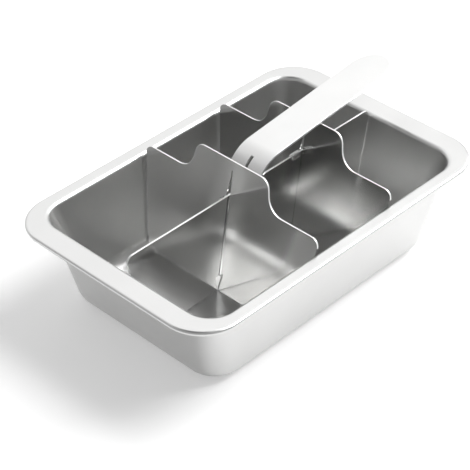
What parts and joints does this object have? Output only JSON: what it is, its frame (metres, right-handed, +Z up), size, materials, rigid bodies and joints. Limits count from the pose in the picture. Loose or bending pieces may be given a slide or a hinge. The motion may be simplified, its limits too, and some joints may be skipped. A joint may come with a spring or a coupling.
{
  "type": "ice cube tray",
  "caption": "All-metal lever ice cube tray: a rolled-rim pan with a lift-out grid whose leaning cross dividers tip when the lever on top is pulled up.",
  "frame": {"origin": "middle of the underside of the pan, where it stands", "axes": "+Z up, +X along the tray from the lever's root towards its tip, +Y across the tray"},
  "size_m": [0.175, 0.116, 0.0709],
  "materials": {
    "pan": "satin outside, soft mirror inside",
    "plates": "bright rolled sheet",
    "lever": "polished",
    "small_parts": "bright"
  },
  "bodies": {
    "tray": {"pan": "pan"},
    "grid": {"centre_divider": "plates", "lever_pivot_rivet": "small_parts"},
    "lever": {"lever_handle": "lever", "drive_pin": "small_parts"},
    "front_plate": {"cross_divider_front": "plates"},
    "rear_plate": {"cross_divider_rear": "plates"},
    "link": {"link_bar": "small_parts"}
  },
  "joints": [
    {"name": "grid_lift", "type": "slide", "parent": "tray", "child": "grid", "axis": [0, 0, 1], "range_m": [0, 0.07]},
    {"name": "lever_pull", "type": "hinge", "parent": "grid", "child": "lever", "pos_m": [-0.00805, 0, 0.0408], "axis": [0, -1, 0], "range_deg": [0, 80]},
    {"name": "front_plate_tip", "type": "hinge", "parent": "grid", "child": "front_plate", "pos_m": [-0.02175, 0, 0.00105], "axis": [0, -1, 0], "range_deg": [0, 15.25]},
    {"name": "rear_plate_tip", "type": "hinge", "parent": "grid", "child": "rear_plate", "pos_m": [0.02375, 0, 0.00105], "axis": [0, -1, 0], "range_deg": [0, 15.25]},
    {"name": "link_slide", "type": "slide", "parent": "grid", "child": "link", "axis": [-1, 0, 0], "range_m": [0, 0.01156]}
  ],
  "couplings": [
    {"joint": "front_plate_tip", "follows": "lever_pull", "ratio": 0.19},
    {"joint": "rear_plate_tip", "follows": "lever_pull", "ratio": 0.19},
    {"joint": "link_slide", "follows": "lever_pull", "m_per_rad": 0.008275}
  ]
}
